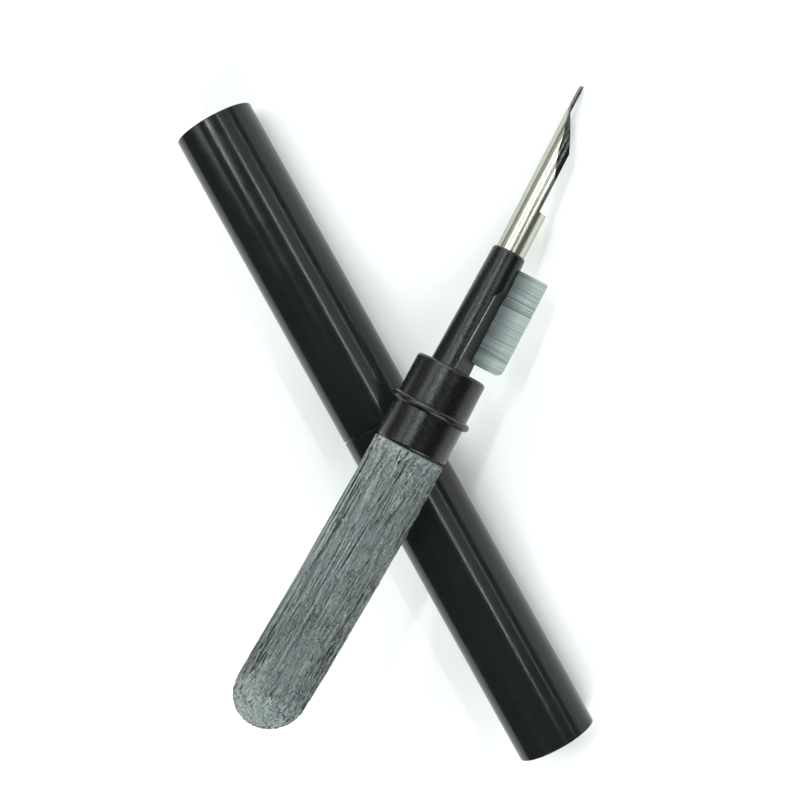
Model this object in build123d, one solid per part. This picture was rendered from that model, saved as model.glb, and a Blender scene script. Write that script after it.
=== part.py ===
from build123d import *
import math
import os

# Lens cleaning pen: a two-cap barrel lying on a table, with the double-ended tool resting across it.
# Millimetres, +Z up. The origin is the centre of the sponge cap's closed end, on the barrel's axis.
# +X runs along the barrel, out of the sponge cap's mouth and towards the tip cap.

# Barrel: two plain caps, mouth to mouth
cap_r = 6.8
cap_wall = 0.85
cap_end_wall = 0.8
tip_end_clearance = 0.25
sponge_end_clearance = 3.075
cap_mouth_gap = 0.2
cap_edge_round = 0.2
cap_lead_in = 0.4

# Coupler: the middle of the tool, which both caps slide onto
coupler_clearance = 0.04
coupler_tip_side = 7.45
coupler_sponge_side = 6.95
coupler_round = 0.6

# Stop ring: a half-round bead seated in a groove round the coupler's middle
ring_r = 6.72
ring_width = 1.35
ring_seat_depth = 0.6

# Sponge: flocked foam with a round end, on a post that is pressed into the coupler
sponge_r = 5.7
sponge_length = 49.55
post_r = 1.65
post_end_cover = 10.0
post_seat_depth = 5.0

# Brush stem: tapered, a little off the coupler's axis, with two flats that meet on the bristle side
stem_offset = -0.41
stem_base_r = 3.31
stem_top_wall = 0.41
stem_length = 20.4
stem_top_round = 0.5
stem_peg_r = 2.0
stem_peg_depth = 5.5
flat_distance = 2.59
flat_angle = 39.5
flat_collar = 4.65
flat_run_out = 2.7

# Bristles: a single row of round tufts, each folded over a small anchor at the bottom of its hole
tuft_count = 6
tuft_gap = 0.52
tuft_row_below = 2.2
tuft_row_above = 1.95
tuft_reach = 7.3
tuft_hole_depth = 3.5
anchor_height = 0.4
anchor_thickness = 0.25

# Nib: a rolled steel tube cut away on the bristle side, over a plastic core
nib_offset = -0.33
nib_r = 2.38
nib_wall = 0.3
nib_seat_depth = 1.5
nib_stub_length = 7.45
nib_body_length = 10.15
nib_taper_length = 6.0
nib_tip_length = 4.75
nib_flat = 1.1
nib_tip_thickness = 0.7
nib_tip_half_width = 0.62
nib_point_start = 1.9
nib_point_overrun = 0.95
nib_edge_start = 5.0
nib_edge_middle = 0.05
nib_edge_shoulder = -0.73
core_clearance = 0.01

# How the tool lies over the barrel
rest_gap = 0.1
table_gap = 0.04
cross_angle = 56.5
cross_from_mouth = 7.2
cross_from_ring = 9.62

# Values that follow from the ones above
bore_r = cap_r - cap_wall
coupler_r = bore_r - coupler_clearance
seat_r = coupler_r - ring_seat_depth
stem_base = coupler_tip_side
stem_top = stem_base + stem_length
stem_top_r = nib_r + stem_top_wall
tuft_pitch = (stem_length - tuft_row_below - tuft_row_above) / tuft_count
tuft_r = (tuft_pitch - tuft_gap) / 2
tuft_root = stem_offset + stem_base_r - tuft_hole_depth
nib_base = stem_top - nib_seat_depth
nib_cut = stem_top + nib_stub_length
nib_shoulder = nib_cut + nib_body_length
nib_neck = nib_shoulder + nib_taper_length
nib_end = nib_neck + nib_tip_length
nib_flat_x = nib_offset + nib_flat
nib_back_x = nib_offset - nib_r
nib_tip_x = nib_back_x + nib_tip_thickness
sponge_end = coupler_sponge_side + sponge_length
tip_cap_length = nib_end - ring_width / 2 + tip_end_clearance + cap_end_wall
sponge_cap_length = sponge_end - ring_width / 2 + sponge_end_clearance + cap_end_wall
seam = sponge_cap_length

# Lying tool: it leans on the barrel and its nib comes down to the table
lift = cap_r + max(coupler_r, sponge_r) + rest_gap
along_x = math.cos(math.radians(cross_angle))
along_y = math.sin(math.radians(cross_angle))
tip_reach = (cross_from_ring + nib_end) * along_y + nib_back_x * along_x
tip_lift = lift - nib_tip_half_width
tip_drop = cap_r - table_gap
tilt = math.acos(-tip_drop / math.hypot(tip_reach, tip_lift)) - math.atan2(tip_reach, tip_lift)
tool_up = Vector(0, -math.sin(tilt), math.cos(tilt))
tool_axis = Vector(along_x, -along_y * math.cos(tilt), -along_y * math.sin(tilt))
tool_side = Vector(-along_y, -along_x * math.cos(tilt), -along_x * math.sin(tilt))
ring_centre = Vector(seam - cross_from_mouth, 0, 0) + tool_up * lift + tool_axis * cross_from_ring

# Tool frame: +Z to the nib, +X to the bristles
tool_place = Plane(origin=ring_centre, x_dir=tool_side, z_dir=tool_axis).location


def rod(radius, start, end, x=0.0):
    """A round bar along +Z from start to end."""
    return Pos(x, 0, start) * Cylinder(radius, end - start, align=(Align.CENTER, Align.CENTER, Align.MIN))


def end_edges(solid, height):
    """The circular edges that lie at one height."""
    return solid.edges().filter_by_position(Axis.Z, height - 0.001, height + 0.001)


def cap(length):
    """A closed cap along +Z, with its mouth at zero and its closed end at length."""
    body = rod(cap_r, 0, length)
    body = fillet(end_edges(body, length), cap_edge_round)
    body = fillet(end_edges(body, 0), cap_edge_round)
    body = body - rod(bore_r, -1, length - cap_end_wall)
    lead_in = Cone(bore_r + cap_lead_in, bore_r, cap_lead_in, align=(Align.CENTER, Align.CENTER, Align.MIN))
    return body - lead_in


def tip_cap():
    """The shorter cap, which covers the bristles and the nib."""
    place = Plane(origin=(seam + cap_mouth_gap, 0, 0), x_dir=(0, 1, 0), z_dir=(1, 0, 0)).location
    return place * cap(tip_cap_length)


def sponge_cap():
    """The longer cap, which covers the sponge."""
    place = Plane(origin=(seam, 0, 0), x_dir=(0, 1, 0), z_dir=(-1, 0, 0)).location
    return place * cap(sponge_cap_length)


def coupler():
    """The round middle piece, with a ring groove and a socket at each end."""
    body = rod(coupler_r, -coupler_sponge_side, coupler_tip_side)
    body = fillet(end_edges(body, -coupler_sponge_side), coupler_round)
    body = fillet(end_edges(body, coupler_tip_side), coupler_round)
    groove = rod(coupler_r + 1, -ring_width / 2, ring_width / 2) - rod(seat_r, -ring_width, ring_width)
    stem_socket = rod(stem_peg_r, coupler_tip_side - stem_peg_depth, coupler_tip_side + 1, stem_offset)
    post_socket = rod(post_r, -coupler_sponge_side - 1, post_seat_depth - coupler_sponge_side)
    return body - groove - stem_socket - post_socket


def stop_ring():
    """The bead that each cap's mouth stops against."""
    half = ring_width / 2
    with BuildPart() as ring:
        with BuildSketch(Plane.XZ):
            with BuildLine():
                Polyline((coupler_r, -half), (seat_r, -half), (seat_r, half), (coupler_r, half))
                ThreePointArc((coupler_r, half), (ring_r, 0), (coupler_r, -half))
            make_face()
        revolve(axis=Axis.Z)
    return ring.part


def sponge_post():
    """The plain post inside the sponge."""
    end = post_end_cover - sponge_end
    post = rod(post_r, end, post_seat_depth - coupler_sponge_side)
    return fillet(end_edges(post, end), post_r * 0.6)


def sponge():
    """The foam, as a plain solid: a round bar with a half-ball end and a hole for the post."""
    round_end = sponge_r - sponge_end
    foam = rod(sponge_r, round_end, -coupler_sponge_side) + Pos(0, 0, round_end) * Sphere(sponge_r)
    return foam - sponge_post()


def tuft_heights():
    """Where each tuft stands along the stem."""
    return [stem_base + tuft_row_below + tuft_pitch * (index + 0.5) for index in range(tuft_count)]


def bar_to_side(radius, start, end, height):
    """A round bar along +X from start to end, at one height of the stem."""
    bar = Cylinder(radius, end - start, align=(Align.CENTER, Align.CENTER, Align.MIN))
    return Pos(start, 0, height) * (Rot(0, 90, 0) * bar)


def stem_flat(side):
    """The wedge cut away for one of the two long flats, with a sloping run-out at its top."""
    outside = stem_base_r * 2
    start = stem_base - 1
    slope_end = stem_top - flat_collar
    straight_end = slope_end - flat_run_out
    outline = Polyline(
        (flat_distance, 0, start),
        (flat_distance, 0, straight_end),
        (stem_base_r, 0, slope_end),
        (outside, 0, slope_end),
        (outside, 0, start),
        close=True,
    )
    wedge = extrude(make_face(outline), stem_base_r * 2, both=True)
    return Pos(stem_offset, 0, 0) * (Rot(0, 0, side * flat_angle) * wedge)


def brush_stem():
    """The tapered stem, with a peg below, a socket above and a row of holes for the tufts."""
    taper = Cone(stem_base_r, stem_top_r, stem_length, align=(Align.CENTER, Align.CENTER, Align.MIN))
    body = Pos(stem_offset, 0, stem_base) * taper
    body = fillet(end_edges(body, stem_top), stem_top_round)
    body = body - stem_flat(-1) - stem_flat(1)
    body = body + rod(stem_peg_r, coupler_tip_side - stem_peg_depth, stem_base, stem_offset)
    body = body - rod(nib_r, nib_base, stem_top + 1, nib_offset)
    for height in tuft_heights():
        body = body - bar_to_side(tuft_r, tuft_root, stem_base_r * 2, height)
    return body


def tuft(height):
    """One tuft, as a plain round solid."""
    return bar_to_side(tuft_r, tuft_root + anchor_height, tuft_reach, height)


def tuft_anchors():
    """The flat anchors, one across the bottom of each hole."""
    bar = Box(anchor_height, math.sqrt(tuft_r**2 - anchor_thickness**2) * 2, anchor_thickness)
    middle = tuft_root + anchor_height / 2
    return Compound(children=[Pos(middle, 0, height) * bar for height in tuft_heights()])


def nib_envelope(edge):
    """The nib's outer shape: a round bar, cut to one side outline and narrowed to the tip."""
    bar = rod(nib_r, nib_base, nib_end, nib_offset)
    outside = nib_offset + nib_r + 1
    far = nib_back_x - 1
    start = Polyline((nib_flat_x, 0, nib_cut), (outside, 0, nib_cut), (outside, 0, nib_base), (far, 0, nib_base))
    finish = Polyline((far, 0, nib_base), (far, 0, nib_end), (nib_tip_x, 0, nib_end), (nib_tip_x, 0, nib_neck))
    side_cut = extrude(make_face([*start.edges(), *finish.edges(), *edge.edges()]), nib_r * 2, both=True)
    wide = nib_r + 1
    narrow = nib_tip_half_width
    point_start = nib_shoulder + nib_point_start
    point_end = nib_neck + nib_point_overrun
    with BuildPart() as front_cut:
        with BuildSketch(Plane.YZ.offset(far)):
            with BuildLine():
                Polyline(
                    (-narrow, nib_end - narrow),
                    (-narrow, point_end),
                    (-nib_r, point_start),
                    (-wide, point_start),
                    (-wide, nib_base - 1),
                    (wide, nib_base - 1),
                    (wide, point_start),
                    (nib_r, point_start),
                    (narrow, point_end),
                    (narrow, nib_end - narrow),
                )
                ThreePointArc((narrow, nib_end - narrow), (0, nib_end), (-narrow, nib_end - narrow))
            make_face()
        extrude(amount=nib_r * 4)
    return bar & side_cut & front_cut.part


def nib():
    """The steel shell, with an edge that sweeps back and leaves the core showing."""
    cut_end = nib_cut + nib_edge_start
    middle = (nib_offset + nib_edge_middle, 0, (cut_end + nib_shoulder) / 2)
    shoulder = (nib_offset + nib_edge_shoulder, 0, nib_shoulder)
    straight = Line((nib_flat_x, 0, nib_cut), (nib_flat_x, 0, cut_end))
    sweep = Spline((nib_flat_x, 0, cut_end), middle, shoulder, (nib_tip_x, 0, nib_neck))
    return nib_envelope(straight + sweep) - rod(nib_r - nib_wall, nib_base - 1, nib_end + 1, nib_offset)


def nib_core():
    """The plastic core inside the shell, cut to the nib's own side outline."""
    edge = Polyline((nib_flat_x, 0, nib_cut), (nib_flat_x, 0, nib_shoulder), (nib_tip_x, 0, nib_neck))
    core_r = nib_r - nib_wall - core_clearance
    return nib_envelope(edge) & rod(core_r, nib_base - 1, nib_end + 1, nib_offset)


def build_nodes():
    """Every sub-part, by node name, where it lies at rest."""
    nodes = {"tip_cap": tip_cap(), "sponge_cap": sponge_cap()}
    tool = {
        "coupler": coupler(),
        "stop_ring": stop_ring(),
        "sponge": sponge(),
        "sponge_post": sponge_post(),
        "brush_stem": brush_stem(),
        "tuft_anchors": tuft_anchors(),
        "nib": nib(),
        "nib_core": nib_core(),
    }
    for index, height in enumerate(tuft_heights()):
        tool[f"bristle_tuft_{index + 1}"] = tuft(height)
    for name, shape in tool.items():
        nodes[name] = tool_place * shape
    return nodes


def main():
    os.makedirs("parts", exist_ok=True)
    for name, shape in build_nodes().items():
        export_step(shape, f"parts/{name}.step")


main()
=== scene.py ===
import math
import random

import bmesh
import bpy
from bpy.props import FloatProperty, FloatVectorProperty, IntProperty, PointerProperty
from mathutils import Matrix, Vector, noise


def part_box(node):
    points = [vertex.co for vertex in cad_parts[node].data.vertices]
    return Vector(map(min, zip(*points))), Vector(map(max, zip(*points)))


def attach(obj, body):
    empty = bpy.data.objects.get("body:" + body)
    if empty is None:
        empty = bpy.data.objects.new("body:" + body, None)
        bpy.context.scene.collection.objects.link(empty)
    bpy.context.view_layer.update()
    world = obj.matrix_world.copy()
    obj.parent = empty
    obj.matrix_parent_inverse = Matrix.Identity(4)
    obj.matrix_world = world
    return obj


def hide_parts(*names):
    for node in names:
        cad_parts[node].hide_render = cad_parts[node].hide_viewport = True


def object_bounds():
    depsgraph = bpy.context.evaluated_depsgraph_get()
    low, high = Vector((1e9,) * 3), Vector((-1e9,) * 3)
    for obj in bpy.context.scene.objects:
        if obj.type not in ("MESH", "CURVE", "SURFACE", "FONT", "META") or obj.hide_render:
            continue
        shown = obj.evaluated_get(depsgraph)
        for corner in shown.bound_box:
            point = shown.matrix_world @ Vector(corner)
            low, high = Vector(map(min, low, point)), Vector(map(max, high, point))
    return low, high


bl_info = {
    "name": "Lens Cleaning Pen",
    "version": (1, 0, 0),
    "blender": (4, 5, 0),
    "location": "View3D > Sidebar > Pen",
    "description": "Builds the barrel, the cleaning tool and the studio of a lens cleaning pen",
    "category": "Object",
}

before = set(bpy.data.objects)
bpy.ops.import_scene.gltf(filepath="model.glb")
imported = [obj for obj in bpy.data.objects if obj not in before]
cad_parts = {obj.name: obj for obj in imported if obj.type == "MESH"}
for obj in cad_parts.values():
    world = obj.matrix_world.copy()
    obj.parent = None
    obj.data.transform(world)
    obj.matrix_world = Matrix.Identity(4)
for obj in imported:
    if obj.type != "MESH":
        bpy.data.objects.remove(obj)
CAD_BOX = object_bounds()

MM = 0.001
MERGE = 1e-7
ROUND_STEPS = 128
SHARP = math.radians(32)
SLIGHT_EDGE = math.radians(14)
NIB_EDGE = 5.0 * MM
NECK_START = 1.9 * MM
NECK_END = 0.95 * MM
FIBRE_DOUBLINGS = 14
FIBRE_EDGE = 0.15 * MM
DARK_FILAMENTS = 0.045
FLOOR_GLOW = 0.08
SURROUND = 0.10
TUFTS = [name for name in sorted(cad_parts) if name.startswith("bristle_tuft_")]


# ---------------------------------------------------------------- places

def middle(node):
    """The centre of a CAD node's box."""
    low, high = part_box(node)
    return (low + high) / 2


def tool_place():
    """The tool's own frame: Z towards the nib, X towards the bristles, origin at the stop ring."""
    along = (middle(TUFTS[-1]) - middle(TUFTS[0])).normalized()
    up = along.cross(Vector((1, 0, 0))).normalized()
    side = along.cross(up)
    turn = Matrix((side, -up, along)).transposed().to_4x4()
    return Matrix.Translation(middle("stop_ring")) @ turn


def cap_place(mouth, direction):
    """A cap's own frame: Z from its mouth to its closed end."""
    turn = Vector((0, 0, 1)).rotation_difference(Vector((direction, 0, 0))).to_matrix().to_4x4()
    return Matrix.Translation(Vector((mouth, 0, 0))) @ turn


TOOL = tool_place()
CAP_BOXES = {"tip_cap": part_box("tip_cap"), "sponge_cap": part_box("sponge_cap")}
CAP_RADIUS = CAP_BOXES["tip_cap"][1].z


# ---------------------------------------------------------------- settings

def length(name, description, value):
    """A length property in metres, given in millimetres."""
    return FloatProperty(name=name, description=description, default=value * MM, unit="LENGTH", precision=5)


def factor(name, description, value):
    """A number from 0 to 1."""
    return FloatProperty(
        name=name, description=description, default=value, min=0.0, max=1.0, subtype="FACTOR"
    )


def colour(name, description, value):
    """A colour."""
    return FloatVectorProperty(
        name=name, description=description, default=value, size=3, min=0, max=1, subtype="COLOR"
    )


def angle(name, description, degrees):
    """An angle property, given in degrees."""
    return FloatProperty(
        name=name, description=description, default=math.radians(degrees), unit="ROTATION"
    )


class PenBarrelSettings(bpy.types.PropertyGroup):
    """The two caps."""

    wall: length("Wall", "Thickness of a cap's side", 0.85)
    end_wall: length("End wall", "Thickness of a cap's closed end", 0.8)
    lead_in: length("Lead-in", "Bevel inside the mouth", 0.4)
    lip: length("Lip", "Thin lip of the tip cap that closes the seam", 0.4)
    rim: length("Rim", "Round at the outside of the closed end", 0.2)
    groove: length("Groove", "Depth of the seam between the caps", 0.24)
    mouth_rim: length("Mouth rim", "Round at the outside of the mouth", 0.09)
    colour: colour("Colour", "Plastic of the barrel", (0.0085, 0.0105, 0.0088))
    roughness: factor("Roughness", "Roughness of the barrel's gloss", 0.16)


class PenCouplerSettings(bpy.types.PropertyGroup):
    """The middle of the tool and its ring."""

    radius: length("Radius", "Radius that the caps slide onto", 5.91)
    tip_side: length("Tip side", "Length from the ring to the stem", 7.45)
    sponge_side: length("Sponge side", "Length from the ring to the foam", 6.95)
    corner: length("Corner", "Round at both ends", 0.62)
    ring_radius: length("Ring radius", "Outside of the stop ring", 6.72)
    ring_width: length("Ring width", "Width of the stop ring", 1.35)
    colour: colour("Colour", "Plastic of the tool", (0.0030, 0.0040, 0.0036))
    roughness: factor("Roughness", "Roughness of the tool's plastic", 0.22)


class PenStemSettings(bpy.types.PropertyGroup):
    """The tapered stem that holds the bristles."""

    offset: length("Offset", "How far the stem stands off the coupler's axis", -0.41)
    base_radius: length("Base radius", "Radius at the coupler", 3.31)
    top_radius: length("Top radius", "Radius at the nib", 2.79)
    height: length("Height", "Length of the stem", 20.4)
    corner: length("Corner", "Round at the top", 0.5)
    flat: length("Flat", "Distance from the stem's axis to each flat", 2.59)
    collar: length("Collar", "Round part left above the flats", 4.65)
    run_out: length("Run-out", "Length of the slope at the top of each flat", 2.7)
    flat_angle: angle("Flat angle", "Turn of each flat from the bristle side", 39.5)


class PenNibSettings(bpy.types.PropertyGroup):
    """The steel nib and its core."""

    offset: length("Offset", "How far the nib stands off the coupler's axis", -0.33)
    radius: length("Radius", "Outside of the rolled steel", 2.38)
    wall: length("Wall", "Thickness of the steel", 0.3)
    seat: length("Seat", "Depth of the nib inside the stem", 1.5)
    stub: length("Stub", "Length that is a whole tube", 7.45)
    body: length("Body", "Length from the stub to the shoulder", 10.15)
    taper: length("Taper", "Length of the slope", 6.0)
    tip: length("Tip", "Length of the thin tip", 4.75)
    flat: length("Flat", "Distance from the nib's axis to its cut side", 1.1)
    thickness: length("Tip thickness", "Thickness of the thin tip", 0.7)
    half_width: length("Tip half width", "Half the width of the thin tip", 0.62)
    steel: colour("Steel", "Colour of the steel", (0.57, 0.565, 0.49))
    core: colour("Core", "Plastic of the core", (0.008, 0.0085, 0.009))


class PenSpongeSettings(bpy.types.PropertyGroup):
    """The flocked foam."""

    radius: length("Radius", "Radius of the foam", 5.7)
    reach: length("Reach", "Length of the foam", 49.55)
    bend: length("Bend", "How far the round end leans away from the bristle side", 2.3)
    lump: length("Lump", "Height of the broad unevenness", 0.06)
    grain: length("Grain", "Height of the flock's clumps", 0.045)
    fibre: length("Fibre", "Length of a flock fibre", 0.34)
    light: colour("Light", "The flock where it is full", (0.38, 0.435, 0.41))
    shade: colour("Shade", "The flock between its clumps", (0.14, 0.17, 0.17))
    blue: colour("Blue", "The flock's cooler patches", (0.20, 0.25, 0.28))
    dark: colour("Dark", "Gaps between clumps of flock", (0.05, 0.065, 0.07))


class PenBristleSettings(bpy.types.PropertyGroup):
    """The row of tufts."""

    doublings: IntProperty(
        name="Doublings", description="Filaments in a tuft, as a power of two", default=8, min=4, max=10
    )
    filament: length("Filament", "Radius of a filament", 0.062)
    root: length("Root", "Where a filament starts, from the coupler's axis", 1.0)
    reach: length("Reach", "Where a filament ends, from the coupler's axis", 7.3)
    depth: length("Depth", "Half the thickness of the row", 1.08)
    # Light is the nylon's colour at the tips; dark is painted shade at the roots, where the bristles lie in
    # shade by the stem.
    light: colour("Light", "Nylon at the tips", (0.49, 0.555, 0.545))
    dark: colour("Dark", "Nylon at the roots", (0.15, 0.18, 0.185))


class PenStudioSettings(bpy.types.PropertyGroup):
    """Camera, lights and floor."""

    distance: length("Distance", "From the camera to the point it looks at", 260)
    lens: FloatProperty(name="Lens", description="Focal length", default=70.8, unit="CAMERA")
    tilt: angle("Tilt", "Lean of the view from straight down", 19.93)
    roll: angle("Roll", "Turn of the view", 119.11)
    aim_along: length("Aim along", "Where the camera looks, along the barrel", 61.61)
    aim_across: length("Aim across", "Where the camera looks, across the barrel", -4.64)
    floor: colour("Floor", "Colour of the floor", (0.93, 0.93, 0.925))


# Lights that lie along the barrel and along the tool: near and far edge, start and end, brightness.
# Edges count from straight above towards the top of the view. Start and end run along the piece.
BARREL_LIGHTS = (
    (0.350, 0.380, -0.25, 0.29, 29.0),
    (1.215, 1.260, -0.44, 0.44, 12.0),
    (0.380, 1.215, -0.22, 0.36, 1.0),
)
TOOL_LIGHTS = (
    (0.350, 0.400, -0.15, 0.31, 32.0),
    (1.120, 1.220, -0.26, 0.46, 16.0),
    (0.280, 0.740, -0.10, 0.32, 1.2),
    (0.830, 1.600, -0.12, 0.46, 1.1),
    (2.900, 5.500, -0.60, 1.40, 1.0),
)

# Soft panels below, above and left of the set as the camera sees it: direction, width, height, brightness.
AROUND_LIGHTS = (
    ("front_panel", (0.0, -0.8, 0.6), 0.8, 0.5, 6.0),
    ("back_panel", (0.0, 0.85, 0.5), 0.8, 0.5, 6.0),
    ("left_panel", (-0.85, 0.0, 0.5), 0.35, 0.6, 3.5),
)
LIGHT_REACH = 1.2
LIGHT_COLOUR = (0.94, 1.0, 0.975)


SETTINGS = {
    "pen_barrel": PenBarrelSettings,
    "pen_coupler": PenCouplerSettings,
    "pen_stem": PenStemSettings,
    "pen_nib": PenNibSettings,
    "pen_sponge": PenSpongeSettings,
    "pen_bristles": PenBristleSettings,
    "pen_studio": PenStudioSettings,
}


# ---------------------------------------------------------------- shapes

def arc(centre, radius, start, end, steps):
    """Points of a round stretch of an outline, between two angles in degrees."""
    turns = [math.radians(start + (end - start) * step / steps) for step in range(steps + 1)]
    return [(centre[0] + radius * math.cos(turn), centre[1] + radius * math.sin(turn)) for turn in turns]


def spun(outline, closed=False, steps=ROUND_STEPS):
    """An outline of (radius, height) points, spun once round Z."""
    bm = bmesh.new()
    verts = [bm.verts.new((radius, 0, height)) for radius, height in outline]
    pairs = list(zip(verts, verts[1:]))
    if closed:
        pairs.append((verts[-1], verts[0]))
    edges = [bm.edges.new(pair) for pair in pairs]
    bmesh.ops.spin(
        bm,
        geom=verts + edges,
        cent=(0, 0, 0),
        axis=(0, 0, 1),
        dvec=(0, 0, 0),
        angle=math.tau,
        steps=steps,
        use_merge=True,
    )
    return bm


def copies(bm, doublings):
    """Doubles what bm holds again and again, and returns how many vertices each copy has."""
    each = len(bm.verts)
    for _ in range(doublings):
        bmesh.ops.duplicate(bm, geom=bm.verts[:] + bm.edges[:] + bm.faces[:])
    bm.verts.ensure_lookup_table()
    return each


def piece(name, bm, material, body, nodes, place=Matrix.Identity(4), sharp=SHARP, merge=True):
    """Turns a bmesh into a finished piece that stands for its CAD nodes."""
    if merge:
        bmesh.ops.remove_doubles(bm, verts=bm.verts, dist=MERGE)
        bmesh.ops.dissolve_degenerate(bm, edges=bm.edges, dist=MERGE)
        bmesh.ops.recalc_face_normals(bm, faces=bm.faces)
    for face in bm.faces:
        face.smooth = True
    for edge in bm.edges:
        edge.smooth = len(edge.link_faces) != 2 or edge.calc_face_angle() < sharp
    bm.transform(place)
    mesh = bpy.data.meshes.new(name)
    bm.to_mesh(mesh)
    bm.free()
    mesh.materials.append(material)
    obj = bpy.data.objects.new(name, mesh)
    bpy.context.collection.objects.link(obj)
    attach(obj, body)
    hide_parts(*nodes)
    return obj


def even_normals(obj):
    """Keeps broad faces flat and lets the small rounds between them carry the shading."""
    modifier = obj.modifiers.new("Normals", "WEIGHTED_NORMAL")
    modifier.keep_sharp = True
    modifier.weight = 100


def soft_edges(obj, width):
    """Rounds the sharp edges."""
    modifier = obj.modifiers.new("Round", "BEVEL")
    modifier.width = width
    modifier.segments = 3
    modifier.limit_method = "ANGLE"
    modifier.angle_limit = SLIGHT_EDGE
    modifier.harden_normals = False
    modifier.use_clamp_overlap = True


# ---------------------------------------------------------------- node groups

class Tree:
    """Adds and links nodes in one node tree."""

    def __init__(self, tree):
        self.tree = tree

    def add(self, kind, inputs=None, **settings):
        """A new node with its settings made and its sockets filled or linked."""
        node = self.tree.nodes.new(kind)
        for key, value in settings.items():
            setattr(node, key, value)
        for key, value in (inputs or {}).items():
            if isinstance(value, bpy.types.NodeSocket):
                self.link(value, node.inputs[key])
            else:
                node.inputs[key].default_value = value
        return node

    def link(self, source, target):
        """Links two sockets."""
        self.tree.links.new(source, target)

    def math(self, operation, first, second=0.0):
        """The result of one sum."""
        return self.add("ShaderNodeMath", {0: first, 1: second}, operation=operation).outputs[0]

    def mix(self, share, first, second, blend="MIX"):
        """Two colours mixed."""
        inputs = {0: share, 6: first, 7: second}
        return self.add("ShaderNodeMix", inputs, data_type="RGBA", blend_type=blend).outputs[2]

    def ramp(self, value, low, high, start=0.0, end=1.0):
        """A value moved from one range to another."""
        inputs = {"Value": value, "From Min": low, "From Max": high, "To Min": start, "To Max": end}
        return self.add("ShaderNodeMapRange", inputs).outputs[0]

    def noise(self, vector, scale, detail=2.0, rough=0.5):
        """Soft noise from 0 to 1."""
        inputs = {"Vector": vector, "Scale": scale, "Detail": detail, "Roughness": rough}
        return self.add("ShaderNodeTexNoise", inputs).outputs["Fac"]


def group(name, inputs, outputs):
    """A new node group, its node helper, what it is given and what it puts out."""
    tree = bpy.data.node_groups.new(name, "ShaderNodeTree")
    tree.interface.new_socket("Vector", in_out="INPUT", socket_type="NodeSocketVector")
    for socket, value in inputs.items():
        made = tree.interface.new_socket(socket, in_out="INPUT", socket_type="NodeSocketFloat")
        made.default_value = value
    for socket in outputs:
        tree.interface.new_socket(socket, in_out="OUTPUT", socket_type="NodeSocketFloat")
    given = tree.nodes.new("NodeGroupInput").outputs
    out = tree.nodes.new("NodeGroupOutput").inputs
    return tree, Tree(tree), given, out


def specks_group():
    """Sparse small dots of dust."""
    name = "Specks"
    if name in bpy.data.node_groups:
        return bpy.data.node_groups[name]
    tree, t, given, out = group(name, {"Scale": 1000.0, "Share": 0.1, "Size": 0.25}, ["Mask"])
    cells = t.add("ShaderNodeTexVoronoi", {"Vector": given["Vector"], "Scale": given["Scale"]})
    chance = t.add("ShaderNodeSeparateColor", {"Color": cells.outputs["Color"]}).outputs[0]
    chosen = t.math("LESS_THAN", chance, given["Share"])
    near = t.math("SUBTRACT", 1.0, t.math("DIVIDE", cells.outputs["Distance"], given["Size"]))
    near = t.add("ShaderNodeClamp", {"Value": near}).outputs[0]
    t.link(t.math("MULTIPLY", chosen, near), out["Mask"])
    return tree


def moulded_group():
    """A moulded plastic's faint mottle: a roughness that changes, and a low height."""
    name = "Moulded"
    if name in bpy.data.node_groups:
        return bpy.data.node_groups[name]
    inputs = {"Scale": 600.0, "Smooth": 0.2, "Rough": 0.4}
    tree, t, given, out = group(name, inputs, ["Roughness", "Height"])
    broad = t.noise(given["Vector"], given["Scale"], 4.0, 0.6)
    fine = t.noise(given["Vector"], t.math("MULTIPLY", given["Scale"], 4.5), 3.0, 0.6)
    blend = t.math("ADD", t.math("MULTIPLY", broad, 0.65), t.math("MULTIPLY", fine, 0.35))
    spread = t.ramp(blend, 0.38, 0.62)
    width = t.math("SUBTRACT", given["Rough"], given["Smooth"])
    t.link(t.math("ADD", given["Smooth"], t.math("MULTIPLY", spread, width)), out["Roughness"])
    t.link(blend, out["Height"])
    return tree


def start_material(name, base, roughness, metallic=0.0):
    """A material with its shader set, its node helper, and its object coordinates."""
    material = bpy.data.materials.new(name)
    material.use_nodes = True
    material.diffuse_color = (*base, 1)
    shader = material.node_tree.nodes["Principled BSDF"]
    shader.inputs["Base Color"].default_value = (*base, 1)
    shader.inputs["Roughness"].default_value = roughness
    shader.inputs["Metallic"].default_value = metallic
    t = Tree(material.node_tree)
    coordinates = t.add("ShaderNodeTexCoord").outputs["Object"]
    return material, shader, t, coordinates


def along_tool(t, coordinates):
    """Object coordinates turned so that Z runs along the tool."""
    turn = TOOL.to_3x3().inverted().to_euler()
    return t.add("ShaderNodeMapping", {"Vector": coordinates, "Rotation": turn}).outputs[0]


def fill_group(t, tree, inputs):
    """The outputs of a group node with its sockets filled."""
    return t.add("ShaderNodeGroup", inputs, node_tree=tree).outputs


def moulded(t, shader, place, scale, smooth, rough):
    """Gives a shader the roughness of moulded plastic, and returns the height of its mottle."""
    inputs = {"Vector": place, "Scale": scale, "Smooth": smooth, "Rough": rough}
    mottle_and_painted_highlight = fill_group(t, moulded_group(), inputs)
    t.link(mottle_and_painted_highlight["Roughness"], shader.inputs["Roughness"])
    return mottle_and_painted_highlight["Height"]


def opaque(base, share=1.0):
    """A colour made lighter or darker by a share, with full cover."""
    return (*[part * share for part in base], 1)


def bump(t, shader, height, distance):
    """Feeds a height into the shader's normal."""
    node = t.add("ShaderNodeBump", {"Strength": 1.0, "Distance": distance, "Height": height})
    t.link(node.outputs["Normal"], shader.inputs["Normal"])


# ---------------------------------------------------------------- materials

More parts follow.
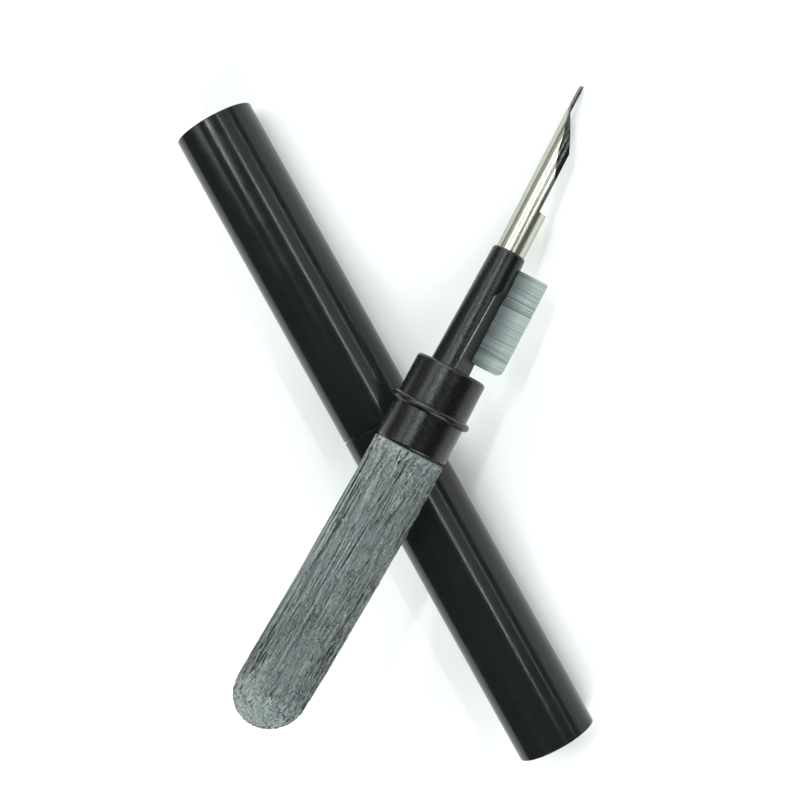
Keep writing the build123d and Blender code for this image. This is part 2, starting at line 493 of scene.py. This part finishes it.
def barrel_material(settings):
    """Polished black plastic with a trace of green, fine handling marks and a little dust."""
    base = tuple(settings.colour)
    material, shader, t, place = start_material("barrel_plastic", base, settings.roughness)
    height = moulded(t, shader, place, 260.0, settings.roughness - 0.03, settings.roughness + 0.05)
    shader.inputs["Specular IOR Level"].default_value = 0.30
    dust = fill_group(t, specks_group(), {"Vector": place, "Scale": 420.0, "Share": 0.035, "Size": 0.045})
    tint = t.mix(t.noise(place, 90.0, 3.0), opaque(base, 0.85), opaque(base, 1.2))
    t.link(t.mix(dust["Mask"], tint, (0.12, 0.125, 0.12, 1)), shader.inputs["Base Color"])
    bump(t, shader, height, 0.000004)
    return material


def tool_material(settings):
    """The tool's black plastic: softer gloss with a moulded mottle, and a mottled painted highlight on the
    stem's marked flat edges.
    """
    if "tool_plastic" in bpy.data.materials:
        return bpy.data.materials["tool_plastic"]
    base = tuple(settings.colour)
    material, shader, t, place = start_material("tool_plastic", base, settings.roughness)
    height = moulded(t, shader, place, 2300.0, settings.roughness - 0.05, settings.roughness + 0.07)
    shader.inputs["Specular IOR Level"].default_value = 0.42
    dust = fill_group(t, specks_group(), {"Vector": place, "Scale": 700.0, "Share": 0.03, "Size": 0.07})
    tint = t.mix(t.noise(place, 300.0, 3.0), opaque(base, 0.75), opaque(base, 1.3))
    # Painted highlight: a pale grey painted on the corners marked in the stem's mesh, broken up by the
    # mottle. It stands in for the light that the flats' rounded edges catch.
    painted_highlight = t.add("ShaderNodeVertexColor", layer_name="painted_highlight").outputs["Color"]
    painted_highlight = t.add("ShaderNodeSeparateColor", {"Color": painted_highlight}).outputs[0]
    painted_highlight = t.math("MULTIPLY", painted_highlight, t.ramp(height, 0.40, 0.60, 0.35, 1.0))
    tint = t.mix(dust["Mask"], tint, (0.14, 0.145, 0.14, 1))
    t.link(t.mix(painted_highlight, tint, (0.34, 0.35, 0.34, 1)), shader.inputs["Base Color"])
    bump(t, shader, height, 0.00004)
    return material


def core_material(settings):
    """The core's deep gloss, with the slight waves of moulded plastic."""
    base = tuple(settings.core)
    material, shader, t, place = start_material("core_plastic", base, 0.12)
    bump(t, shader, moulded(t, shader, place, 500.0, 0.08, 0.22), 0.00008)
    return material


def steel_material(settings):
    """Bright rolled steel with faint lines drawn along the nib."""
    base = tuple(settings.steel)
    material, shader, t, place = start_material("drawn_steel", base, 0.26, 1.0)
    shader.inputs["Specular Tint"].default_value = (0.55, 0.56, 0.52, 1)
    turned = along_tool(t, place)
    drawn = t.add("ShaderNodeMapping", {"Vector": turned, "Scale": (9000.0, 9000.0, 120.0)}).outputs[0]
    lines = t.noise(drawn, 1.0, 3.0, 0.6)
    t.link(t.ramp(lines, 0.3, 0.7, 0.20, 0.33), shader.inputs["Roughness"])
    t.link(t.mix(lines, opaque(base, 0.86), opaque(base)), shader.inputs["Base Color"])
    bump(t, shader, lines, 0.0000015)
    return material


def foam_material(settings):
    """Flocked foam: pale flock with cooler patches and dark gaps between its clumps."""
    material, shader, t, place = start_material("grey_flock", tuple(settings.light), 0.95)
    patches = t.ramp(t.noise(place, 190.0, 3.0, 0.55), 0.38, 0.62, 0.0, 0.5)
    grain = t.noise(place, 4200.0, 3.0, 0.65)
    base = t.mix(t.ramp(grain, 0.40, 0.58), opaque(settings.shade), opaque(settings.light))
    base = t.mix(patches, base, opaque(settings.blue))
    gaps = t.ramp(t.noise(place, 2700.0, 3.0, 0.7), 0.385, 0.465, 1.0, 0.0)
    gaps = t.math("MULTIPLY", gaps, t.ramp(t.noise(place, 260.0, 3.0, 0.6), 0.40, 0.60, 0.35, 1.0))
    t.link(t.mix(gaps, base, opaque(settings.dark)), shader.inputs["Base Color"])
    shader.inputs["Sheen Weight"].default_value = 0.6
    shader.inputs["Sheen Roughness"].default_value = 0.6
    shader.inputs["Specular IOR Level"].default_value = 0.2
    bump(t, shader, t.math("SUBTRACT", grain, gaps), 0.00010)
    return material


def nylon_material(settings):
    """Nylon filament, with painted shade darkening it towards the root, and a little different from one
    filament to the next.
    """
    material, shader, t, _ = start_material("grey_nylon", tuple(settings.light), 0.42)
    facts = t.add("ShaderNodeVertexColor", layer_name="filament").outputs["Color"]
    parts = t.add("ShaderNodeSeparateColor", {"Color": facts}).outputs
    # Painted shade: the root colour darkens each filament towards the stem, where the bristles lie in
    # shade.
    base = t.mix(t.ramp(parts[0], 0.04, 0.48), opaque(settings.dark), opaque(settings.light))
    shade = t.mix(parts[1], (0.35, 0.35, 0.35, 1), (1.06, 1.06, 1.06, 1))
    t.link(t.mix(1.0, base, shade, "MULTIPLY"), shader.inputs["Base Color"])
    t.link(t.ramp(parts[1], 0.0, 1.0, 0.36, 0.5), shader.inputs["Roughness"])
    return material


def post_material():
    """Plain moulded plastic of the hidden post."""
    material, shader, t, place = start_material("post_moulding", (0.05, 0.05, 0.05), 0.5)
    bump(t, shader, moulded(t, shader, place, 500.0, 0.42, 0.6), 0.00002)
    return material


def wire_material():
    """Drawn brass of the tuft anchors."""
    material, shader, t, place = start_material("anchor_brass", (0.6, 0.45, 0.2), 0.3, 1.0)
    height = moulded(t, shader, place, 2500.0, 0.25, 0.45)
    t.link(t.mix(height, (0.5, 0.36, 0.15, 1), (0.66, 0.5, 0.23, 1)), shader.inputs["Base Color"])
    return material


def floor_material(settings):
    """A plain pale paper floor."""
    base = tuple(settings.floor)
    material, shader, t, place = start_material("floor_paper", base, 0.9)
    paper = t.mix(t.noise(place, 40.0, 3.0), opaque(base, 0.995), opaque(base))
    t.link(paper, shader.inputs["Base Color"])
    t.link(paper, shader.inputs["Emission Color"])
    shader.inputs["Emission Strength"].default_value = FLOOR_GLOW
    shader.inputs["Specular IOR Level"].default_value = 0.2
    return material


def finish_node(name, material):
    """Gives a CAD node that is shown as it is its material."""
    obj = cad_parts[name]
    obj.data.materials.clear()
    obj.data.materials.append(material)


# ---------------------------------------------------------------- pieces

class PEN_OT_caps(bpy.types.Operator):
    """Build both caps of the barrel"""

    bl_idname = "pen.caps"
    bl_label = "Caps"

    def execute(self, context):
        s = context.scene.pen_barrel
        material = barrel_material(s)
        bore = CAP_RADIUS - s.wall
        for node, direction in (("tip_cap", 1), ("sponge_cap", -1)):
            low, high = CAP_BOXES[node]
            mouth = low.x if direction > 0 else high.x
            reach = high.x - low.x
            outline = [(0, reach - s.end_wall), (bore, reach - s.end_wall)]
            if node == "tip_cap":
                groove = CAP_RADIUS - s.groove
                lip_radius, flange = bore + s.lip * 0.42, s.lip * 0.4
                outline += [(bore, -s.lip), (lip_radius, -s.lip), (lip_radius, -flange)]
                outline += [(groove, -flange), (groove, 0)]
            else:
                outline += [(bore, s.lead_in), (bore + s.lead_in, 0)]
            outline += arc((CAP_RADIUS - s.mouth_rim, s.mouth_rim), s.mouth_rim, -90, 0, 4)
            outline += arc((CAP_RADIUS - s.rim, reach - s.rim), s.rim, 0, 90, 5)
            outline.append((0, reach))
            place = cap_place(mouth, direction)
            made = piece(f"{node}_shell", spun(outline), material, node, [node], place)
            even_normals(made)
        return {"FINISHED"}


class PEN_OT_coupler(bpy.types.Operator):
    """Build the coupler and its stop ring"""

    bl_idname = "pen.coupler"
    bl_label = "Coupler and ring"

    def execute(self, context):
        s = context.scene.pen_coupler
        material = tool_material(s)
        low, high = -s.sponge_side, s.tip_side
        outline = [(0, low)]
        outline += arc((s.radius - s.corner, low + s.corner), s.corner, -90, 0, 6)
        outline += arc((s.radius - s.corner, high - s.corner), s.corner, 0, 90, 6)
        outline.append((0, high))
        body = piece("coupler_body", spun(outline), material, "tool", ["coupler"], TOOL)
        even_normals(body)
        bulge = s.ring_radius - s.radius
        half = s.ring_width / 2
        inside = s.radius - bulge / 2
        bead = [(inside, -half)]
        bead += [(s.radius + bulge * math.cos(turn), half * math.sin(turn)) for turn in half_turn(14)]
        bead.append((inside, half))
        bead = spun(bead, closed=True)
        ring = piece("stop_ring_bead", bead, material, "tool", ["stop_ring"], TOOL)
        even_normals(ring)
        return {"FINISHED"}


def half_turn(steps):
    """Angles from -90 to 90 degrees."""
    return [math.pi * (step / steps - 0.5) for step in range(steps + 1)]


def cut_flat(bm, s, side, top):
    """Cuts one long flat into the stem, with a slope at its upper end."""
    turn = side * s.flat_angle
    out = Vector((math.cos(turn), math.sin(turn), 0))
    slope_end = top - s.collar
    straight_end = slope_end - s.run_out
    rise = (s.base_radius - s.flat) / s.run_out
    slope = (out - Vector((0, 0, rise))).normalized()
    corner = out * s.flat + Vector((0, 0, straight_end))
    for point, direction in ((corner, out), (corner, Vector((0, 0, 1))), (corner, slope)):
        geom = bm.verts[:] + bm.edges[:] + bm.faces[:]
        bmesh.ops.bisect_plane(bm, geom=geom, plane_co=point, plane_no=direction, dist=MERGE)
    for vert in bm.verts:
        limit = s.flat + max(0.0, vert.co.z - straight_end) * rise
        over = vert.co.dot(out) - limit
        if over > 0:
            vert.co -= out * over


class PEN_OT_stem(bpy.types.Operator):
    """Build the tapered brush stem"""

    bl_idname = "pen.stem"
    bl_label = "Brush stem"

    def execute(self, context):
        s = context.scene.pen_stem
        base = context.scene.pen_coupler.tip_side
        top = base + s.height
        sink = 1.0 * MM
        nib = context.scene.pen_nib
        outline = [(0, base - sink), (s.base_radius, base - sink), (s.base_radius, base)]
        outline += arc((s.top_radius - s.corner, top - s.corner), s.corner, 0, 90, 5)
        outline.append((nib.radius * 0.5, top))
        outline.append((0, top))
        bm = spun(outline)
        bmesh.ops.remove_doubles(bm, verts=bm.verts, dist=MERGE)
        for side in (-1, 1):
            cut_flat(bm, s, side, top)
        bmesh.ops.dissolve_degenerate(bm, edges=bm.edges, dist=MERGE * 10)
        # Bevels the flats' long edges and marks them for the painted highlight.
        self.mottle_and_painted_highlight(bm, base, top - s.collar - s.run_out)
        place = TOOL @ Matrix.Translation(Vector((s.offset, 0, 0)))
        material = tool_material(context.scene.pen_coupler)
        nodes = ["brush_stem"]
        made = piece("brush_stem_body", bm, material, "tool", nodes, place, SLIGHT_EDGE)
        soft_edges(made, 0.07 * MM)
        even_normals(made)
        return {"FINISHED"}

    def mottle_and_painted_highlight(self, bm, base, finish):
        """Rounds the long straight edges of the flats and marks them for a painted highlight: a pale colour
        that stands in for the light these edges catch.
        """
        layer = bm.loops.layers.color.new("painted_highlight")
        bm.normal_update()
        long_edges = []
        for edge in bm.edges:
            low, high = sorted(vert.co.z for vert in edge.verts)
            upright = high - low > 0.8 * edge.calc_length()
            if base < high and high <= finish + MERGE and upright and len(edge.link_faces) == 2:
                if edge.calc_face_angle() > SLIGHT_EDGE:
                    long_edges.append(edge)
        for face in bm.faces:
            for loop in face.loops:
                loop[layer] = (0, 0, 0, 1)
        made = bmesh.ops.bevel(
            bm, geom=long_edges, offset=0.13 * MM, segments=2, profile=0.5, affect="EDGES", material=-1
        )
        # The new bevel faces get the mark that the tool's material paints pale as a highlight.
        for face in made["faces"]:
            for loop in face.loops:
                loop[layer] = (1, 1, 1, 1)


def nib_heights(s, base):
    """Where the nib's named heights lie: bottom, cut, shoulder, neck and end."""
    top = base + s.stub
    return base - s.seat, top, top + s.body, top + s.body + s.taper, top + s.body + s.taper + s.tip


def curve_through(points, height):
    """A smooth curve through (height, value) points, by Hermite pieces with slopes from the neighbours."""
    slopes = []
    for index, point in enumerate(points):
        before = points[max(0, index - 1)]
        after = points[min(len(points) - 1, index + 1)]
        slopes.append((after[1] - before[1]) / (after[0] - before[0]))
    for index in range(len(points) - 1):
        (start, low), (end, high) = points[index], points[index + 1]
        if height <= end or index == len(points) - 2:
            span = end - start
            t = min(1.0, max(0.0, (height - start) / span))
            values = (2 * t**3 - 3 * t**2 + 1) * low + (3 * t**2 - 2 * t**3) * high
            leaving = (t**3 - 2 * t**2 + t) * span * slopes[index]
            arriving = (t**3 - t**2) * span * slopes[index + 1]
            return values + leaving + arriving
    return points[-1][1]


def nib_half_width(s, heights, height):
    """Half the nib's width across the cut, from its round body to its rounded tip."""
    _, _, shoulder, neck, end = heights
    start = shoulder + NECK_START
    finish = neck + NECK_END
    if height < start:
        return s.radius
    if height < finish:
        return s.radius + (s.half_width - s.radius) * (height - start) / (finish - start)
    past = height - (end - s.half_width)
    if past <= 0:
        return s.half_width
    return math.sqrt(max(0.0, s.half_width**2 - min(past, s.half_width) ** 2))


def nib_rows(heights, s, spacing):
    """Heights of the nib's cross sections: even steps, with close ones at the tip's round end."""
    bottom, cut, shoulder, neck, end = heights
    marks = [bottom, cut - 0.02 * MM, cut, cut + NIB_EDGE, shoulder, shoulder + NECK_START]
    marks += [neck, neck + NECK_END, end - s.half_width]
    rows = []
    for low, high in zip(marks, marks[1:]):
        steps = max(1, round((high - low) / spacing))
        rows += [low + (high - low) * step / steps for step in range(steps)]
    rows += [end - s.half_width + s.half_width * math.sin(math.radians(turn)) for turn in range(0, 91, 10)]
    return rows


class PEN_OT_nib(bpy.types.Operator):
    """Build the steel nib and its plastic core"""

    bl_idname = "pen.nib"
    bl_label = "Nib"

    def execute(self, context):
        s = context.scene.pen_nib
        stem = context.scene.pen_stem
        heights = nib_heights(s, context.scene.pen_coupler.tip_side + stem.height)
        self.shell(s, heights)
        self.core(s, heights)
        return {"FINISHED"}

    def shell(self, s, heights):
        """The rolled steel, as one sheet bent round and given its thickness."""
        _, cut, shoulder, neck, _ = heights
        edge_start = cut + NIB_EDGE
        sweep = [
            (edge_start, s.flat),
            ((edge_start + shoulder) / 2, 0.05 * MM),
            (shoulder, -0.73 * MM),
            (neck, s.thickness - s.radius),
        ]
        rows = nib_rows(heights, s, 0.45 * MM)
        across = 72
        bm = bmesh.new()
        bmesh.ops.create_grid(bm, x_segments=across, y_segments=len(rows) - 1, size=1.0)
        for vert in bm.verts:
            row = rows[round((vert.co.y + 1) / 2 * (len(rows) - 1))]
            share = (vert.co.x + 1) / 2
            if row < cut:
                opening = 0.0
            elif row < edge_start:
                opening = math.acos(s.flat / s.radius)
            else:
                opening = math.acos(max(-1.0, min(1.0, curve_through(sweep, row) / s.radius)))
            width = nib_half_width(s, heights, row)
            if width < s.radius:
                opening = max(opening, math.pi - math.asin(width / s.radius))
            turn = opening + (math.tau - 2 * opening) * share
            vert.co = Vector((s.offset + s.radius * math.cos(turn), s.radius * math.sin(turn), row))
        bmesh.ops.remove_doubles(bm, verts=bm.verts, dist=MERGE)
        bmesh.ops.dissolve_degenerate(bm, edges=bm.edges, dist=MERGE)
        bmesh.ops.recalc_face_normals(bm, faces=bm.faces)
        bmesh.ops.solidify(bm, geom=bm.faces[:], thickness=s.wall)
        material = steel_material(s)
        made = piece("nib_shell", bm, material, "tool", ["nib"], TOOL)
        soft_edges(made, 0.05 * MM)
        even_normals(made)

    def core(self, s, heights):
        """The core, as cross sections joined from the seat to the tip."""
        radius = s.radius - s.wall - 0.01 * MM
        parts = (12, 5, 6, 7)
        half = sum(parts)
        rows = nib_rows(heights, s, 0.5 * MM)
        bm = bmesh.new()
        bmesh.ops.create_grid(bm, x_segments=half * 2, y_segments=len(rows) - 1, size=1.0)
        for vert in bm.verts:
            row = rows[round((vert.co.y + 1) / 2 * (len(rows) - 1))]
            column = round((vert.co.x + 1) / 2 * half * 2)
            mirrored = column > half
            x, y = self.section(s, heights, radius, row, min(column, half * 2 - column), parts)
            vert.co = Vector((s.offset + x, -y if mirrored else y, row))
        bmesh.ops.remove_doubles(bm, verts=bm.verts, dist=MERGE)
        bmesh.ops.dissolve_degenerate(bm, edges=bm.edges, dist=MERGE)
        open_edges = [edge for edge in bm.edges if edge.is_boundary]
        bmesh.ops.holes_fill(bm, edges=open_edges, sides=0)
        material = core_material(s)
        sharp = math.radians(20)
        made = piece("nib_core_body", bm, material, "tool", ["nib_core"], TOOL, sharp)
        soft_edges(made, 0.06 * MM)
        even_normals(made)

    def section(self, s, heights, radius, row, index, parts):
        """One point of the upper half of a cross section, counted from the nib's back."""
        edge = curve_edge(s, heights, row)
        width = min(nib_half_width(s, heights, row), radius)
        half_chord = math.sqrt(max(0.0, radius**2 - edge**2))
        back = math.sqrt(max(0.0, radius**2 - width**2))
        if edge < 0:
            width = min(width, half_chord)
            back = math.sqrt(max(0.0, radius**2 - width**2))
        left_turn = math.pi - math.asin(min(1.0, width / radius))
        right = min(edge, back)
        if index <= parts[0]:
            turn = math.pi + (left_turn - math.pi) * index / parts[0]
            return radius * math.cos(turn), radius * math.sin(turn)
        index -= parts[0]
        if index <= parts[1]:
            return -back + (right + back) * index / parts[1], width
        index -= parts[1]
        start_turn = math.asin(min(1.0, width / radius))
        end_turn = math.acos(max(-1.0, min(1.0, edge / radius)))
        if edge <= back:
            end_turn = start_turn
        if index <= parts[2]:
            if edge <= back:
                return right, width
            turn = start_turn + (end_turn - start_turn) * index / parts[2]
            return radius * math.cos(turn), radius * math.sin(turn)
        index -= parts[2]
        top = width if edge <= back else radius * math.sin(end_turn)
        return (edge if edge < radius else radius), top * (1 - index / parts[3])


def curve_edge(s, heights, row):
    """How far the core reaches towards the bristle side, from the nib's own axis."""
    _, cut, shoulder, neck, _ = heights
    tip = s.thickness - s.radius
    if row < cut:
        return s.radius
    if row <= shoulder:
        return s.flat
    if row <= neck:
        return s.flat + (tip - s.flat) * (row - shoulder) / (neck - shoulder)
    return tip


class PEN_OT_sponge(bpy.types.Operator):
    """Build the flocked foam end"""

    bl_idname = "pen.sponge"
    bl_label = "Foam"

    def execute(self, context):
        s = context.scene.pen_sponge
        start = -context.scene.pen_coupler.sponge_side
        material = foam_material(s)
        end = start - s.reach
        step = 0.42 * MM
        straight = s.reach - s.radius
        count = round(straight / step)
        outline = [(0, start), (s.radius * 0.6, start), (s.radius * 0.93, start)]
        outline += [(s.radius, start - straight * (index + 1) / count) for index in range(count)]
        outline += arc((0, end + s.radius), s.radius, 0, -90, 24)[1:]
        bm = spun(outline, steps=96)
        bmesh.ops.remove_doubles(bm, verts=bm.verts, dist=MERGE)
        bmesh.ops.recalc_face_normals(bm, faces=bm.faces)
        bmesh.ops.subdivide_edges(bm, edges=bm.edges[:], cuts=1, use_grid_fill=True)
        bm.normal_update()
        for vert in bm.verts:
            vert.co += vert.normal * self.height(s, vert.co)
        self.bend(bm, s, start)
        foam = piece("sponge_foam", bm, material, "tool", ["sponge"], TOOL, math.pi)
        self.flock(s, start, material)
        finish_node("sponge_post", post_material())
        return {"FINISHED"}

    def height(self, s, point):
        """How far the flock stands out at one point."""
        broad = noise.noise(point / (5.0 * MM)) * s.lump
        clumps = noise.fractal(point / (0.75 * MM), 1.0, 2.0, 3) * s.grain
        return broad + clumps

    def bend(self, bm, s, start):
        """Leans the round end away from the bristle side."""
        for vert in bm.verts:
            share = max(0.0, (start - vert.co.z) / s.reach)
            vert.co.x -= s.bend * share**1.6

    def flock(self, s, start, material):
        """Short fibres standing out of the foam, in all directions."""
        rng = random.Random(7)
        bm = bmesh.new()
        bmesh.ops.create_cone(
            bm, segments=3, radius1=0.042 * MM, radius2=0.014 * MM, depth=s.fibre, cap_ends=True
        )
        each = copies(bm, FIBRE_DOUBLINGS)
        straight = s.reach - s.radius
        area_side = math.tau * s.radius * straight
        area_end = math.tau * s.radius**2
        for first in range(0, len(bm.verts), each):
            turn = rng.random() * math.tau
            if rng.random() < area_side / (area_side + area_end):
                out = Vector((math.cos(turn), math.sin(turn), 0))
                drop = rng.random() * (straight - FIBRE_EDGE)
                point = out * s.radius + Vector((0, 0, start - FIBRE_EDGE - drop))
            else:
                drop = rng.random()
                flat = math.sqrt(1 - drop * drop)
                out = Vector((flat * math.cos(turn), flat * math.sin(turn), -drop))
                point = out * s.radius + Vector((0, 0, start - straight))
            point += out * (self.height(s, point) + s.fibre * 0.22)
            lean = Vector((rng.gauss(0, 1), rng.gauss(0, 1), rng.gauss(0, 1))) * 0.75
            turned = Vector((0, 0, 1)).rotation_difference((out + lean).normalized()).to_matrix().to_4x4()
            place = Matrix.Translation(point) @ turned @ Matrix.Diagonal((1, 1, rng.uniform(0.6, 1.2), 1))
            for index in range(first, first + each):
                bm.verts[index].co = place @ bm.verts[index].co
        self.bend(bm, s, start)
        piece("sponge_flock", bm, material, "tool", ["sponge"], TOOL, math.pi, merge=False)


class PEN_OT_bristles(bpy.types.Operator):
    """Build the row of nylon tufts"""

    bl_idname = "pen.bristles"
    bl_label = "Bristles"

    def execute(self, context):
        s = context.scene.pen_bristles
        material = nylon_material(s)
        back = TOOL.inverted()
        centres = [(back @ middle(node)).z for node in TUFTS]
        pitch = centres[1] - centres[0]
        bottom = centres[0] - pitch / 2
        for number, (node, centre) in enumerate(zip(TUFTS, centres)):
            self.tuft(s, material, node, centre, pitch, bottom, random.Random(31 + number))
        finish_node("tuft_anchors", wire_material())
        return {"FINISHED"}

    def tuft(self, s, material, node, centre, pitch, bottom, rng):
        """One tuft of filaments, packed evenly and spread a little towards the tips."""
        bm = bmesh.new()
        layer = bm.loops.layers.color.new("filament")
        bmesh.ops.create_cone(
            bm, segments=5, radius1=s.filament, radius2=s.filament, depth=1.0, cap_ends=True
        )
        lengths = [edge for edge in bm.edges if abs(edge.verts[0].co.z - edge.verts[1].co.z) > 0.5]
        bmesh.ops.subdivide_edges(bm, edges=lengths, cuts=2)
        each = copies(bm, s.doublings)
        count = 2**s.doublings
        tone = []
        for _ in range(count):
            low, high = (0.0, 0.5) if rng.random() < DARK_FILAMENTS else (0.8, 1.0)
            tone.append(rng.uniform(low, high))
        for number in range(count):
            share = math.sqrt((number + 0.5) / count)
            turn = number * math.pi * (3 - math.sqrt(5))
            u, v = square_from_disc(share * math.cos(turn), share * math.sin(turn))
            root = Vector((s.root, v * s.depth * 0.92, centre + u * pitch * 0.485))
            lean_y, lean_z = rng.gauss(0, 0.05) * MM, rng.gauss(0, 0.035) * MM
            end = s.reach + rng.gauss(0, 0.03) * MM
            tip = Vector((end, v * s.depth * 1.06 + lean_y, centre + u * pitch * 0.497 + lean_z))
            tip.x -= corner_loss(tip.z - bottom, 1.0 * MM)
            bow = Vector((0, rng.gauss(0, 0.03) * MM, rng.gauss(0, 0.025) * MM))
            for index in range(number * each, (number + 1) * each):
                vert = bm.verts[index]
                t = vert.co.z + 0.5
                line = root.lerp(tip, t) + bow * math.sin(math.pi * t)
                vert.co = line + Vector((0, vert.co.x, vert.co.y))
        # How far along its filament each corner lies; the material paints shade towards the root with it.
        span = s.reach - s.root
        for face in bm.faces:
            number = face.verts[0].index // each
            for loop in face.loops:
                along = (loop.vert.co.x - s.root) / span
                loop[layer] = (max(0.0, min(1.0, along)), tone[number], 0, 1)
        name, sharp = f"{node}_filaments", math.radians(80)
        piece(name, bm, material, "tool", [node], TOOL, sharp, merge=False)


def square_from_disc(x, y):
    """Moves a point of the unit disc out to the square that holds it."""
    size = math.hypot(x, y)
    widest = max(abs(x), abs(y))
    if widest < 1e-9:
        return 0.0, 0.0
    scale = 1 + (size / widest - 1) * 0.9
    return x * scale, y * scale


def corner_loss(height, radius):
    """How much shorter a filament is cut near the row's rounded lower corner."""
    if height >= radius:
        return 0.0
    return radius - math.sqrt(max(0.0, radius**2 - (radius - max(height, 0.0)) ** 2))


class PEN_OT_studio(bpy.types.Operator):
    """Set up the floor, the lights and the camera"""

    bl_idname = "pen.studio"
    bl_label = "Studio"

    def execute(self, context):
        s = context.scene.pen_studio
        away = Vector((0, -math.sin(s.tilt), math.cos(s.tilt)))
        along = Vector((1, 0, 0))
        across = away.cross(along)
        right = along * math.cos(s.roll) - across * math.sin(s.roll)
        up = along * math.sin(s.roll) + across * math.cos(s.roll)
        turn = Matrix((right, up, away)).transposed().to_4x4()
        aim = along * s.aim_along + across * s.aim_across
        self.floor(s, CAD_BOX[0].z)
        self.camera(context, s, Matrix.Translation(aim + away * s.distance) @ turn)
        self.lights(context, Matrix.Translation(aim) @ turn)
        self.world(context)
        return {"FINISHED"}

    def floor(self, s, height):
        """A wide flat floor under the barrel."""
        bm = bmesh.new()
        bmesh.ops.create_grid(bm, x_segments=8, y_segments=8, size=1.5)
        bm.transform(Matrix.Translation(Vector((0, 0, height))))
        mesh = bpy.data.meshes.new("floor")
        bm.to_mesh(mesh)
        bm.free()
        mesh.materials.append(floor_material(s))
        floor = bpy.data.objects.new("floor", mesh)
        bpy.context.collection.objects.link(floor)

    def camera(self, context, s, place):
        """The camera, looking down at the crossed pieces."""
        data = bpy.data.cameras.new("camera")
        data.lens = s.lens
        data.sensor_width = 36.0
        data.clip_start = 0.01
        camera = bpy.data.objects.new("camera", data)
        context.collection.objects.link(camera)
        camera.matrix_world = place
        context.scene.camera = camera

    def lights(self, context, view):
        """Strips that lie along each piece, and soft panels around the set."""
        turn = view.to_3x3().inverted()
        barrel = (turn @ Vector((1, 0, 0))).xy.normalized()
        tool = (turn @ TOOL.to_3x3().col[2]).xy.normalized()
        for name, along, plan in (("barrel", barrel, BARREL_LIGHTS), ("tool", tool, TOOL_LIGHTS)):
            out = Vector((along.y, -along.x))
            if out.y < 0:
                out = -out
            for number, (near, far, start, end, brightness) in enumerate(plan, 1):
                spot = out * (near + far) / 2 + along * (start + end) / 2
                spin = Matrix.Rotation(math.atan2(along.y, along.x), 4, "Z")
                place = Matrix.Translation((spot.x, spot.y, 1.0)) @ spin
                label = f"{name}_light_{number}"
                self.panel(context, view, label, place, end - start, far - near, brightness)
        for name, direction, width, height, brightness in AROUND_LIGHTS:
            spot = Vector(direction)
            place = Matrix.Translation(spot) @ spot.to_track_quat("Z", "Y").to_matrix().to_4x4()
            self.panel(context, view, name, place, width, height, brightness)

    def panel(self, context, view, name, place, width, height, brightness):
        """A flat light of even brightness, with its place and size given for a reach of one metre."""
        data = bpy.data.lights.new(name, "AREA")
        data.shape = "RECTANGLE"
        data.size = width * LIGHT_REACH
        data.size_y = height * LIGHT_REACH
        data.energy = brightness * math.pi * data.size * data.size_y
        data.color = LIGHT_COLOUR
        light = bpy.data.objects.new(name, data)
        context.collection.objects.link(light)
        place.translation *= LIGHT_REACH
        light.matrix_world = view @ place

    def world(self, context):
        """A dim even surround."""
        world = bpy.data.worlds.new("surround")
        world.use_nodes = True
        background = world.node_tree.nodes["Background"]
        background.inputs["Color"].default_value = (0.95, 0.98, 1.0, 1)
        background.inputs["Strength"].default_value = SURROUND
        context.scene.world = world
        context.scene.view_settings.view_transform = "Standard"


class PEN_PT_panel(bpy.types.Panel):
    """Lists the pieces"""

    bl_idname = "PEN_PT_panel"
    bl_label = "Lens Cleaning Pen"
    bl_space_type = "VIEW_3D"
    bl_region_type = "UI"
    bl_category = "Pen"

    def draw(self, context):
        """The operators, then the settings of each group."""
        for operator in OPERATORS:
            self.layout.operator(operator.bl_idname)
        for name, settings in SETTINGS.items():
            box = self.layout.box()
            group_settings = getattr(context.scene, name)
            for key in settings.__annotations__:
                box.prop(group_settings, key)


OPERATORS = (
    PEN_OT_caps,
    PEN_OT_coupler,
    PEN_OT_stem,
    PEN_OT_nib,
    PEN_OT_sponge,
    PEN_OT_bristles,
    PEN_OT_studio,
)


def register():
    """Adds the settings, the operators and the panel."""
    for name, settings in SETTINGS.items():
        bpy.utils.register_class(settings)
        setattr(bpy.types.Scene, name, PointerProperty(type=settings))
    for operator in OPERATORS:
        bpy.utils.register_class(operator)
    bpy.utils.register_class(PEN_PT_panel)


def unregister():
    """Takes them away again."""
    bpy.utils.unregister_class(PEN_PT_panel)
    for operator in reversed(OPERATORS):
        bpy.utils.unregister_class(operator)
    for name, settings in reversed(SETTINGS.items()):
        delattr(bpy.types.Scene, name)
        bpy.utils.unregister_class(settings)


def main():
    """Builds every piece and the studio."""
    register()
    bpy.ops.pen.caps()
    bpy.ops.pen.coupler()
    bpy.ops.pen.stem()
    bpy.ops.pen.nib()
    bpy.ops.pen.sponge()
    bpy.ops.pen.bristles()
    bpy.ops.pen.studio()


if __name__ == "__main__":
    main()
